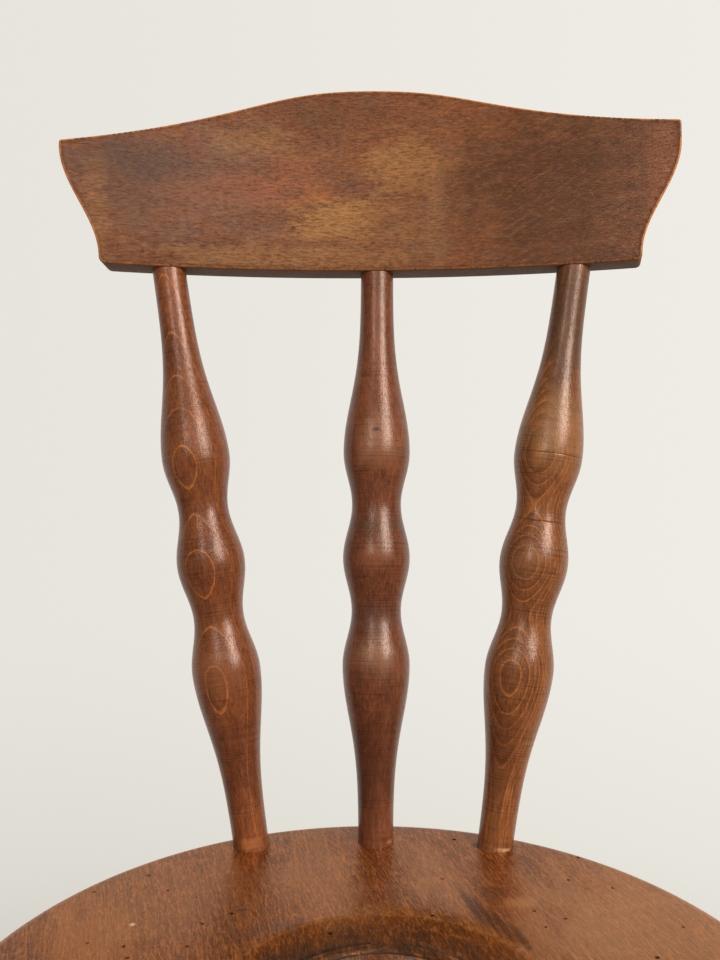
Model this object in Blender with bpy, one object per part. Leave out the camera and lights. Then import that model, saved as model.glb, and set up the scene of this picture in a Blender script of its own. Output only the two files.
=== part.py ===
"""A worn spindle back chair: a round turned top on four splayed legs, with three turned
spindles that hold up a bent and shaped back rail.

The chair stands on the floor at z = 0 and faces -Y. Heights on the back are measured from
the seat's top face. Everything is in metres.
"""
from math import cos, exp, pi, radians, sin, tau

import bmesh
import bpy
from mathutils import Matrix, Vector
from mathutils.geometry import interpolate_bezier

# Clearance between two pieces that touch
FIT = 0.0003
# How far a cutter reaches past the face that it opens
OVERCUT = 0.015
# Vertices closer than this are one vertex
MERGE = 0.00001

# The round top
SEAT_HEIGHT = 0.445
SEAT_RADIUS = 0.1935
SEAT_THICKNESS = 0.034
RIM_ROUND_TOP = 0.008
RIM_ROUND_BOTTOM = 0.012

# The turned hollow in the top: a cove, a bead between two grooves, and a flat disc
DISH_RADIUS = 0.0756
DISH_DEPTH = 0.005
DISH_LIP_SLOPE = 0.4
BEAD_RADIUS = 0.0512
BEAD_WIDTH = 0.0072
BEAD_DROP = 0.0022
DISC_RADIUS = 0.0468
DISC_DROP = 0.003
DISC_EDGE = 0.0015
# The hollow was turned a little off the middle of the top
DISH_OFF_X = 0.0045
DISH_OFF_Y = 0.0087

# The spindles, from the seat's top face to the rail's underside. Their feet stand in a row
# inside the seat's back edge
SPINDLE_ROW_INSET = 0.0311
SPINDLE_FOOT_RADIUS = 0.0101
SPINDLE_HEAD_RADIUS = 0.0097
SPINDLE_BULB_RADIUS = 0.0197
SPINDLE_WAIST_RADIUS = 0.0145
SPINDLE_MIDDLE_BULB = 0.1635
SPINDLE_BULB_PITCH = 0.0625
SPINDLE_TAPER_REACH = 0.043
SPINDLE_SOCKET_DEPTH = 0.02
SPINDLE_TENON_RADIUS = 0.0062
SPINDLE_TENON_LENGTH = 0.022
SPINDLE_FOOT_SPACING = 0.070
SPINDLE_HEAD_SPACING = 0.1205
# The middle spindle stands a little further back, and a little to the right
MIDDLE_FOOT_BACK = 0.0053
MIDDLE_FOOT_RIGHT = 0.0015
MIDDLE_HEAD_RIGHT = 0.0036

# The back rail: a board bent to an arc, with a high middle and flared ends. It overhangs the
# seat's back edge
RAIL_OVERHANG = 0.0253
RAIL_HEIGHT = 0.3297
RAIL_LEAN = radians(10.0)
RAIL_THICKNESS = 0.0195
RAIL_BEND_RADIUS = 0.585
RAIL_OFF_X = -0.0008
RAIL_HALF_WIDTH = 0.1582
RAIL_END_FLARE = 0.0231
RAIL_FLARE_START = 0.003
RAIL_FLARE_HEIGHT = 0.065
RAIL_MIDDLE_HEIGHT = 0.1100
RAIL_LEFT_CORNER = 0.0703
RAIL_RIGHT_CORNER = 0.0798
RAIL_LEFT_SLOPE = 0.205
RAIL_RIGHT_SLOPE = 0.132
RAIL_SHOULDER_REACH = 0.118
RAIL_HUMP_REACH = 0.060
RAIL_ARRIS = 0.0022
RAIL_CORNER_ROUND = 0.004

# The legs, from the floor to the seat's underside. Their heads stand inside the seat's edge, and
# the feet are splayed out beyond them
LEG_FOOT_RADIUS = 0.0130
LEG_HEAD_RADIUS = 0.0140
LEG_BULB_RADIUS = 0.0230
LEG_WAIST_RADIUS = 0.0170
LEG_MIDDLE_BULB = 0.215
LEG_BULB_PITCH = 0.078
LEG_TAPER_REACH = 0.054
LEG_SOCKET_DEPTH = 0.02
LEG_HEAD_INSET = 0.0685
LEG_SPLAY = 0.063

# How finely round pieces are faceted
SEAT_STEPS = 80
TURNING_STEPS = 20
RINGS_PER_BULB = 8
RINGS_PER_TAPER = 10
ARC_STEPS = 6
RAIL_END_STEPS = 9
RAIL_STRIP = 0.013

RAIL_COLOUR = (0.235, 0.108, 0.047)
SPINDLE_COLOUR = (0.190, 0.072, 0.033)
SEAT_COLOUR = (0.300, 0.130, 0.065)


def back_reach():
    """How far behind the seat's centre the rail's top edge lies."""
    front = SEAT_RADIUS + RAIL_OVERHANG
    return front + RAIL_THICKNESS * cos(RAIL_LEAN) + RAIL_MIDDLE_HEIGHT * sin(RAIL_LEAN)


# The origin is on the floor, in the middle between the seat's front and the rail's back
SEAT_CENTRE = Vector((0.0, (SEAT_RADIUS - back_reach()) / 2, 0.0))


def clear_scene():
    for old in list(bpy.data.objects):
        bpy.data.objects.remove(old, do_unlink=True)


def wood(name, colour, roughness):
    material = bpy.data.materials.new(name)
    material.use_nodes = True
    shader = material.node_tree.nodes["Principled BSDF"]
    shader.inputs["Base Color"].default_value = (*colour, 1.0)
    shader.inputs["Roughness"].default_value = roughness
    shader.inputs["Metallic"].default_value = 0.0
    return material


def add_object(name, bm, material=None, frame=None):
    """Turn a bmesh into an object, shaded smooth but for its sharp edges."""
    mesh = bpy.data.meshes.new(name)
    bmesh.ops.recalc_face_normals(bm, faces=bm.faces)
    bm.to_mesh(mesh)
    bm.free()
    mesh.shade_smooth()
    mesh.set_sharp_from_angle(angle=radians(35))
    if material:
        mesh.materials.append(material)
    made = bpy.data.objects.new(name, mesh)
    if frame:
        made.matrix_world = frame
    bpy.context.scene.collection.objects.link(made)
    return made


def add_guide(name, bm, frame=None):
    """A solid that only cuts or joins another one."""
    guide = add_object(name, bm, frame=frame)
    guide.hide_render = True
    guide.display_type = "WIRE"
    return guide


def combine(target, guide, operation):
    step = target.modifiers.new(guide.name, "BOOLEAN")
    step.operation = operation
    step.solver = "EXACT"
    step.object = guide


def spin_profile(bm, profile, steps, frame=None):
    """Turn a line of (radius, height) points, which starts and ends on the axis."""
    before = set(bm.verts)
    made = [bm.verts.new((radius, 0.0, height)) for radius, height in profile]
    line = [bm.edges.new(pair) for pair in zip(made, made[1:])]
    bmesh.ops.spin(
        bm, geom=made + line, cent=(0, 0, 0), axis=(0, 0, 1), angle=tau, steps=steps, use_merge=True
    )
    if frame:
        bmesh.ops.transform(bm, matrix=frame, verts=[vert for vert in bm.verts if vert not in before])
    bmesh.ops.remove_doubles(bm, verts=bm.verts, dist=MERGE)


def cylinder_profile(radius, low, high):
    return [(0.0, high), (radius, high), (radius, low), (0.0, low)]


def arc(centre_radius, centre_height, radius, start, end):
    """Points of a round, from one angle to another; 0 points outwards and pi / 2 up."""
    for step in range(ARC_STEPS + 1):
        angle = start + (end - start) * step / ARC_STEPS
        yield centre_radius + radius * cos(angle), centre_height + radius * sin(angle)


def ease(share):
    """0 to 1 along half a wave."""
    return (1 - cos(pi * share)) / 2


def axis_frame(start, end):
    """A frame at start whose Z runs towards end."""
    turn = (end - start).to_track_quat("Z", "Y")
    return Matrix.Translation(start) @ turn.to_matrix().to_4x4()


def cut_by_plane(bm, frame, point, normal):
    """Cut off what lies on the normal's side of a world plane, and close the cut."""
    inverse = frame.inverted()
    cut = bmesh.ops.bisect_plane(
        bm,
        geom=bm.verts[:] + bm.edges[:] + bm.faces[:],
        plane_co=inverse @ point,
        plane_no=inverse.to_3x3() @ normal,
        clear_outer=True,
    )
    rim = [item for item in cut["geom_cut"] if isinstance(item, bmesh.types.BMEdge)]
    bmesh.ops.edgeloop_fill(bm, edges=rim)


# Turned profiles

def turned_radius(height, foot, head, bulb, waist, middle, pitch, reach):
    """Radius of a three bulb turning: tapered necks outside, round waists between the bulbs."""
    from_middle = height - middle
    if abs(from_middle) > pitch:
        neck = head if from_middle > 0 else foot
        beyond = abs(from_middle) - pitch
        return neck + (bulb - neck) * exp(-((beyond / reach) ** 2))
    share = abs(from_middle) / pitch
    return bulb - (bulb - waist) * ease(2 * min(share, 1 - share))


def turned_heights(start, end, middle, pitch):
    """Heights of the rings, from the top end down to the bottom end."""
    top_bulb = middle + pitch
    low_bulb = middle - pitch
    heights = [end + (top_bulb - end) * step / RINGS_PER_TAPER for step in range(RINGS_PER_TAPER)]
    rings = 2 * RINGS_PER_BULB
    heights += [top_bulb + (low_bulb - top_bulb) * step / rings for step in range(rings)]
    heights += [low_bulb + (start - low_bulb) * step / RINGS_PER_TAPER for step in range(RINGS_PER_TAPER + 1)]
    return heights


def turned_bmesh(start, end, foot, head, bulb, waist, middle, pitch, reach):
    """A turned bar along Z from start to end, closed by flat ends."""
    profile = [(0.0, end)]
    for height in turned_heights(start, end, middle, pitch):
        radius = turned_radius(height, foot, head, bulb, waist, middle, pitch, reach)
        profile.append((radius, height))
    profile.append((0.0, start))
    bm = bmesh.new()
    spin_profile(bm, profile, TURNING_STEPS)
    return bm


# The seat

def seat_outline():
    """The round board's section, from the top face's centre round the rim to the underside."""
    top_round = arc(SEAT_RADIUS - RIM_ROUND_TOP, -RIM_ROUND_TOP, RIM_ROUND_TOP, pi / 2, 0)
    low_centre = RIM_ROUND_BOTTOM - SEAT_THICKNESS
    low_round = arc(SEAT_RADIUS - RIM_ROUND_BOTTOM, low_centre, RIM_ROUND_BOTTOM, 0, -pi / 2)
    return [(0.0, 0.0), *top_round, *low_round, (0.0, -SEAT_THICKNESS)]


def dish_outline():
    """The section of what was turned out of the top, from above it down and in to the axis."""
    bead_outer = BEAD_RADIUS + BEAD_WIDTH / 2
    bead_inner = BEAD_RADIUS - BEAD_WIDTH / 2
    wide = DISH_RADIUS + OVERCUT
    points = [(0.0, OVERCUT * DISH_LIP_SLOPE), (wide, OVERCUT * DISH_LIP_SLOPE)]
    for step in range(ARC_STEPS):
        share = step / ARC_STEPS
        drop = DISH_DEPTH * sin(pi / 2 * share)
        points.append((DISH_RADIUS + (bead_outer - DISH_RADIUS) * share, -drop))
    bead_height = DISH_DEPTH - BEAD_DROP
    for step in range(ARC_STEPS + 1):
        angle = pi * step / ARC_STEPS
        radius = BEAD_RADIUS + (bead_outer - BEAD_RADIUS) * cos(angle)
        points.append((radius, -DISH_DEPTH + bead_height * sin(angle)))
    points.append((min(DISC_RADIUS, bead_inner - FIT), -DISH_DEPTH))
    points.append((min(DISC_RADIUS, bead_inner - FIT) - DISC_EDGE, -DISC_DROP))
    points.append((0.0, -DISC_DROP))
    return points


def seat_point(x, y, height=0.0):
    """A world point from its place on the seat and its height above the top face."""
    return SEAT_CENTRE + Vector((x, y, SEAT_HEIGHT + height))


def make_seat(spindle_frames, leg_frames):
    bm = bmesh.new()
    spin_profile(bm, seat_outline(), SEAT_STEPS)
    frame = Matrix.Translation(seat_point(0, 0))
    seat = add_object("seat", bm, wood("seat_wood", SEAT_COLOUR, 0.45), frame)

    dish = bmesh.new()
    spin_profile(dish, dish_outline(), SEAT_STEPS)
    dish_frame = Matrix.Translation(seat_point(DISH_OFF_X, DISH_OFF_Y))
    combine(seat, add_guide("dish_cutter", dish, dish_frame), "DIFFERENCE")

    sockets = bmesh.new()
    for frame, _ in spindle_frames.values():
        socket = cylinder_profile(SPINDLE_FOOT_RADIUS + FIT, -SPINDLE_SOCKET_DEPTH - FIT, OVERCUT)
        spin_profile(sockets, socket, TURNING_STEPS, frame)
    for frame, length in leg_frames.values():
        socket = cylinder_profile(LEG_HEAD_RADIUS + FIT, length - OVERCUT, length + LEG_SOCKET_DEPTH + FIT)
        spin_profile(sockets, socket, TURNING_STEPS, frame)
    combine(seat, add_guide("seat_socket_cutter", sockets), "DIFFERENCE")


# The back rail

def rail_frame():
    """The rail's frame: origin at the middle of its lower front arris, Z up along the board."""
    lean = Matrix.Rotation(-RAIL_LEAN, 4, "X")
    arris = seat_point(RAIL_OFF_X, SEAT_RADIUS + RAIL_OVERHANG, RAIL_HEIGHT)
    return Matrix.Translation(arris) @ lean


def bent(along, height, depth):
    """A point of the bent board, in its own frame: its ends are sawn straight back, along Y."""
    across = RAIL_BEND_RADIUS * sin(along / RAIL_BEND_RADIUS)
    back = ((RAIL_BEND_RADIUS + depth) ** 2 - across ** 2) ** 0.5
    return Vector((across, back - RAIL_BEND_RADIUS, height))


def rail_end(side, corner_height):
    """One end of the board from low to high: a short straight, a wave outwards and a corner."""
    turn = RAIL_CORNER_ROUND
    for step in range(ARC_STEPS // 2 + 1):
        angle = pi / 2 * step / (ARC_STEPS // 2)
        yield side * (RAIL_HALF_WIDTH - turn + turn * sin(angle)), turn - turn * cos(angle)
    for step in range(1, RAIL_END_STEPS + 1):
        share = step / RAIL_END_STEPS
        height = RAIL_FLARE_START + RAIL_FLARE_HEIGHT * share
        yield side * (RAIL_HALF_WIDTH + RAIL_END_FLARE * ease(share)), height
    yield side * (RAIL_HALF_WIDTH + RAIL_END_FLARE), corner_height


def rail_top(side, corner_height, slope):
    """The top edge on one side, from the corner to the middle: a shoulder and a hump."""
    half = RAIL_HALF_WIDTH + RAIL_END_FLARE
    curve = interpolate_bezier(
        Vector((side * half, corner_height)),
        Vector((side * (half - RAIL_SHOULDER_REACH), corner_height + slope * RAIL_SHOULDER_REACH)),
        Vector((side * RAIL_HUMP_REACH, RAIL_MIDDLE_HEIGHT)),
        Vector((0.0, RAIL_MIDDLE_HEIGHT)),
        2 * RAIL_END_STEPS,
    )
    return [tuple(point) for point in curve[1:-1]]


def inset_outline(outline, inset):
    """The outline moved inwards by the inset, square to each of its points."""
    moved = []
    for before, here, after in zip(outline[-1:] + outline[:-1], outline, outline[1:] + outline[:1]):
        into = (Vector(here) - Vector(before)).normalized()
        out_of = (Vector(after) - Vector(here)).normalized()
        across = Vector((-into.y - out_of.y, into.x + out_of.x)).normalized()
        stretch = max(across.dot(Vector((-into.y, into.x))), 0.5)
        moved.append(Vector(here) + across * (inset / stretch))
    return moved


def rail_section():
    """How far the outline is inset at each depth: rounded arrises in front and behind."""
    steps = ARC_STEPS // 2
    front = []
    for step in range(steps + 1):
        angle = pi / 2 * step / steps
        front.append((RAIL_ARRIS * (1 - sin(angle)), RAIL_ARRIS * (1 - cos(angle))))
    behind = [(inset, RAIL_THICKNESS - depth) for inset, depth in reversed(front)]
    return front + behind


def flat_board(outline):
    """The board before it is bent, cut into strips that can follow the bend."""
    bm = bmesh.new()
    loops = []
    for inset, depth in rail_section():
        loops.append([bm.verts.new((along, depth, high)) for along, high in inset_outline(outline, inset)])
    for near, far in zip(loops, loops[1:]):
        for index in range(len(near)):
            bm.faces.new((near[index - 1], near[index], far[index], far[index - 1]))
    bm.faces.new(loops[0])
    bm.faces.new(loops[-1])
    cuts = int((RAIL_HALF_WIDTH + RAIL_END_FLARE) // RAIL_STRIP)
    for cut in range(-cuts, cuts + 1):
        everything = bm.verts[:] + bm.edges[:] + bm.faces[:]
        bmesh.ops.bisect_plane(bm, geom=everything, plane_co=(cut * RAIL_STRIP, 0, 0), plane_no=(1, 0, 0))
    bmesh.ops.remove_doubles(bm, verts=bm.verts, dist=MERGE)
    return bm


def make_rail(spindle_frames):
    right = [*rail_end(1, RAIL_RIGHT_CORNER), *rail_top(1, RAIL_RIGHT_CORNER, RAIL_RIGHT_SLOPE)]
    left = [*rail_end(-1, RAIL_LEFT_CORNER), *rail_top(-1, RAIL_LEFT_CORNER, RAIL_LEFT_SLOPE)]
    bm = flat_board([*right, (0.0, RAIL_MIDDLE_HEIGHT), *reversed(left)])
    for vert in bm.verts:
        vert.co = bent(vert.co.x, vert.co.z, vert.co.y)
    rail = add_object("crest_rail", bm, wood("rail_wood", RAIL_COLOUR, 0.45), rail_frame())

    sockets = bmesh.new()
    for frame, length in spindle_frames.values():
        depth = length + SPINDLE_TENON_LENGTH + FIT
        socket = cylinder_profile(SPINDLE_TENON_RADIUS + FIT, length - OVERCUT, depth)
        spin_profile(sockets, socket, TURNING_STEPS, frame)
    combine(rail, add_guide("rail_socket_cutter", sockets), "DIFFERENCE")


# Spindles and legs

def spindle_axes():
    """Each spindle's frame, at the seat's face with Z up along it, and its length to the rail."""
    places = {
        "left": (-SPINDLE_FOOT_SPACING, 0.0, -SPINDLE_HEAD_SPACING),
        "centre": (MIDDLE_FOOT_RIGHT, MIDDLE_FOOT_BACK, MIDDLE_HEAD_RIGHT),
        "right": (SPINDLE_FOOT_SPACING, 0.0, SPINDLE_HEAD_SPACING),
    }
    axes = {}
    for side, (foot_x, back, head_x) in places.items():
        foot = seat_point(foot_x, SEAT_RADIUS - SPINDLE_ROW_INSET + back)
        head = rail_frame() @ bent(head_x - RAIL_OFF_X, 0.0, RAIL_THICKNESS / 2)
        axes[side] = axis_frame(foot, head), (head - foot).length
    return axes


def make_spindle(side, frame, length):
    bm = turned_bmesh(
        -SPINDLE_SOCKET_DEPTH,
        length + OVERCUT,
        SPINDLE_FOOT_RADIUS,
        SPINDLE_HEAD_RADIUS,
        SPINDLE_BULB_RADIUS,
        SPINDLE_WAIST_RADIUS,
        SPINDLE_MIDDLE_BULB,
        SPINDLE_BULB_PITCH,
        SPINDLE_TAPER_REACH,
    )
    up_the_rail = rail_frame().to_3x3() @ Vector((0, 0, 1))
    underside = rail_frame().translation - up_the_rail * FIT
    cut_by_plane(bm, frame, underside, up_the_rail)
    name = "back_spindle_" + side
    spindle = add_object(name, bm, wood(name + "_wood", SPINDLE_COLOUR, 0.4), frame)

    tenon = bmesh.new()
    tenon_outline = cylinder_profile(SPINDLE_TENON_RADIUS, length - OVERCUT, length + SPINDLE_TENON_LENGTH)
    spin_profile(tenon, tenon_outline, TURNING_STEPS)
    combine(spindle, add_guide(name + "_tenon", tenon, frame), "UNION")


def leg_axes():
    """Each leg's frame, at the floor with Z up along it, and its length to the seat's underside."""
    axes = {}
    for end, y in (("front", -1), ("rear", 1)):
        for side, x in (("left", -1), ("right", 1)):
            outwards = Vector((x, y, 0)).normalized()
            head_reach = SEAT_RADIUS - LEG_HEAD_INSET
            foot = SEAT_CENTRE + outwards * (head_reach + LEG_SPLAY)
            head = seat_point(0, 0, -SEAT_THICKNESS) + outwards * head_reach
            axes[end + "_" + side] = axis_frame(foot, head), (head - foot).length
    return axes


def make_leg(place, frame, length):
    bm = turned_bmesh(
        -OVERCUT,
        length + LEG_SOCKET_DEPTH,
        LEG_FOOT_RADIUS,
        LEG_HEAD_RADIUS,
        LEG_BULB_RADIUS,
        LEG_WAIST_RADIUS,
        LEG_MIDDLE_BULB,
        LEG_BULB_PITCH,
        LEG_TAPER_REACH,
    )
    cut_by_plane(bm, frame, Vector((0, 0, 0)), Vector((0, 0, -1)))
    name = "leg_" + place
    add_object(name, bm, wood(name + "_wood", SPINDLE_COLOUR, 0.4), frame)


clear_scene()
spindles = spindle_axes()
legs = leg_axes()
make_seat(spindles, legs)
make_rail(spindles)
for side, (frame, length) in spindles.items():
    make_spindle(side, frame, length)
for place, (frame, length) in legs.items():
    make_leg(place, frame, length)
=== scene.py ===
"""An old spindle back chair in stained beech: a round turned seat with a hollow in its middle,
four turned legs, three turned spindles and a bent back rail. The varnish is worn and dirty,
and woodworm has drilled the seat.

Everything is in metres, with the floor at z = 0 and the chair's front towards -Y.
"""
import random
from math import cos, exp, hypot, pi, radians, sin, tau

import bmesh
import bpy
from mathutils import Matrix, Vector
from mathutils.geometry import interpolate_bezier
from mathutils.kdtree import KDTree


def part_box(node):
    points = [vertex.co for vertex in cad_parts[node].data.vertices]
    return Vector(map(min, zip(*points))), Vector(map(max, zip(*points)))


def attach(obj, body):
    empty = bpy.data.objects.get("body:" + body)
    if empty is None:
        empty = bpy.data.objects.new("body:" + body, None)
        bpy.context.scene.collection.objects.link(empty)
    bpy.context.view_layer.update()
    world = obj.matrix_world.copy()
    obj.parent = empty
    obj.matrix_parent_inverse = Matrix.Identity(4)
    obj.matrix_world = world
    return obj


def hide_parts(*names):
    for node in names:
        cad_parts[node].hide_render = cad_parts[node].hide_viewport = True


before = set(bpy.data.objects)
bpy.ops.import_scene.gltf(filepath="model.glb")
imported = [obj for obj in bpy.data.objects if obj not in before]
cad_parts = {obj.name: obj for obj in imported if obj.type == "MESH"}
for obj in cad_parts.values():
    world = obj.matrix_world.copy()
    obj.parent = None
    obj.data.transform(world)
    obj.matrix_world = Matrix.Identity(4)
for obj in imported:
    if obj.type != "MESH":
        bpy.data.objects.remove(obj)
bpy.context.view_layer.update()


# The seat: a round beech board with rounded edges. A hollow with a bead round its middle is
# turned into the top. The board is stained and varnished, and full of woodworm holes.

low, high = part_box("seat")
SEAT_TOP = Vector(((low.x + high.x) / 2, (low.y + high.y) / 2, high.z))
SEAT_RADIUS = (high.x - low.x) / 2
SEAT_THICKNESS = high.z - low.z
SEAT_TURN = 256
RIM_ROUND_TOP = 0.008
RIM_ROUND_BOTTOM = 0.012
DISH_CENTRE = Vector((0.0045, 0.0087, 0.0))
DISH_RADIUS = 0.0756
DISH_DEPTH = 0.005
BEAD_RADIUS = 0.0512
BEAD_WIDTH = 0.0072
BEAD_DROP = 0.0022
DISC_RADIUS = 0.0468
DISC_DROP = 0.003
SEAT_GRAIN_TURN = radians(15)
# Where the worms came out: x and y on the seat from its centre, in millimetres
WORM_HOLES = (
    (-146.5, 107.0), (-121.9, 125.2), (-108.0, 108.7), (-92.6, 101.8), (-67.7, 93.6), (-71.5, 85.2),
    (-84.8, 75.5), (-88.7, 54.6), (-85.7, 56.8), (-119.1, 54.5), (-115.0, 44.7), (-136.9, 57.6),
    (47.0, 169.1), (36.9, 121.7), (29.3, 83.3), (104.1, 120.3), (125.6, 111.6), (81.0, 87.8),
    (95.3, 80.5), (84.5, 72.5), (151.5, 72.6), (131.6, 45.6), (114.5, 147.0), (9.5, 45.3),
    (-8.8, 88.7), (-21.6, 70.9),
)
# Holes further forward, spread over the rest of the top
MORE_HOLES = 34
HOLE_RADIUS = 0.0011
HOLE_DEPTH = 0.005
HOLE_SIDES = 12
# Other marks on the top: place, half width and half length in millimetres, colour and strength
SEAT_MARKS = (
    # A chip to the bare wood, and a small knot
    ((-119.1, 74.5), (1.7, 1.7), (232, 204, 160), 0.95),
    ((-66.6, 88.6), (2.8, 1.8), (36, 22, 14), 0.9),
    # Places where the stain is thicker or thinner; the four large pale patches at the end, beside
    # and between the spindles, are painted sheen
    ((76.2, 96.9), (9.0, 6.0), (176, 122, 66), 0.5),
    ((63.6, 107.3), (9.0, 7.0), (78, 46, 24), 0.55),
    ((88.0, 66.0), (30.0, 20.0), (126, 74, 38), 0.3),
    ((-60.0, 124.0), (22.0, 12.0), (126, 74, 38), 0.35),
    ((-136.0, 60.0), (30.0, 40.0), (180, 108, 54), 0.3),
    # Painted sheen: pale patches where the top shines, beside and between the spindles
    ((136.0, 76.0), (66.0, 70.0), (196, 138, 92), 0.34),
    ((-112.0, 100.0), (60.0, 50.0), (186, 128, 84), 0.16),
    ((-28.0, 120.0), (22.0, 60.0), (190, 130, 84), 0.2),
    ((34.0, 126.0), (16.0, 50.0), (194, 134, 88), 0.24),
    # Dark streaks along the grain
    ((49.6, 94.2), (2.6, 26.0), (52, 28, 16), 0.75),
    ((56.4, 83.0), (2.2, 24.0), (50, 26, 16), 0.75),
    ((63.2, 73.9), (2.2, 20.0), (52, 28, 16), 0.7),
    ((71.3, 61.4), (2.4, 18.0), (56, 30, 16), 0.7),
    # Scuffs and smears, and the open joint beside the right spindle
    ((24.9, 106.2), (3.0, 12.0), (184, 120, 80), 0.3),
    ((-62.0, 67.0), (10.0, 6.0), (84, 56, 44), 0.4),
    ((58.8, 161.5), (2.4, 4.0), (18, 11, 8), 0.95),
    ((-42.0, 73.0), (12.0, 6.0), (78, 52, 42), 0.5),
    ((-34.0, 54.5), (15.0, 4.5), (48, 38, 34), 0.7),
)


def feed(socket, value):
    """Wire a value into a socket, or set it there."""
    if isinstance(value, bpy.types.NodeSocket):
        socket.id_data.links.new(value, socket)
    else:
        socket.default_value = value


def step(tree, kind, inputs=None, **settings):
    """Add one step to a finish: a node of that kind, its settings and what it works on."""
    node = tree.nodes.new("ShaderNode" + kind)
    for name, value in settings.items():
        setattr(node, name, value)
    for key, value in (inputs or {}).items():
        feed(node.inputs[key], value)
    return node


def reckon(tree, operation, *values, clamp=False):
    """A sum on numbers."""
    inputs = dict(enumerate(values))
    return step(tree, "Math", inputs, operation=operation, use_clamp=clamp).outputs[0]


def shift(tree, operation, *values):
    """A sum on places."""
    return step(tree, "VectorMath", dict(enumerate(values)), operation=operation).outputs[0]


def how_far(tree, place):
    """How far a place is from the middle."""
    return step(tree, "VectorMath", {0: place}, operation="LENGTH").outputs["Value"]


def stretch(tree, place, amounts):
    """The place with each direction scaled by its own amount."""
    return shift(tree, "MULTIPLY", place, amounts)


def fade(tree, value, start, end):
    """0 to 1, softly, as the value goes from start to end."""
    inputs = {"Value": value, "From Min": start, "From Max": end}
    return step(tree, "MapRange", inputs, interpolation_type="SMOOTHSTEP").outputs[0]


def mottle(tree, place, scale, detail=2.0, roughness=0.5):
    """An uneven pattern from 0 to 1, with so many spots to the metre."""
    inputs = {"Vector": place, "Scale": scale, "Detail": detail, "Roughness": roughness}
    return step(tree, "TexNoise", inputs).outputs[0]


def lay(tree, share, under, over, amount=None):
    """One colour laid over another, as far as the share says, or an amount of that share."""
    if amount is not None:
        share = reckon(tree, "MULTIPLY", share, amount)
    return step(tree, "Mix", {0: share, 6: under, 7: over}, data_type="RGBA").outputs[2]


def marked(tree, name, output="Fac"):
    """What the mesh keeps at each point under a name."""
    return step(tree, "Attribute", attribute_name=name).outputs[output]


def effect(name, inputs, outputs):
    """A named shader group. An input is a number, a place (3) or a colour (4)."""
    tree = bpy.data.node_groups.new(name, "ShaderNodeTree")
    for label, value in inputs.items():
        size = len(value) if isinstance(value, tuple) else 1
        kind = {1: "NodeSocketFloat", 3: "NodeSocketVector", 4: "NodeSocketColor"}[size]
        tree.interface.new_socket(label, in_out="INPUT", socket_type=kind).default_value = value
    for label, kind in outputs.items():
        tree.interface.new_socket(label, in_out="OUTPUT", socket_type="NodeSocket" + kind)
    return tree, tree.nodes.new("NodeGroupInput").outputs, tree.nodes.new("NodeGroupOutput").inputs


def use(tree, group, inputs):
    """Place a shader group in a finish, with this finish's own values."""
    node = tree.nodes.new("ShaderNodeGroup")
    node.node_tree = group
    for key, value in inputs.items():
        feed(node.inputs[key], value)
    return node.outputs


def tint(red, green, blue):
    """A colour as it is mixed from a paint card's 0 to 255 values."""
    return (*(((part / 255 + 0.055) / 1.055) ** 2.4 for part in (red, green, blue)), 1.0)


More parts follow.
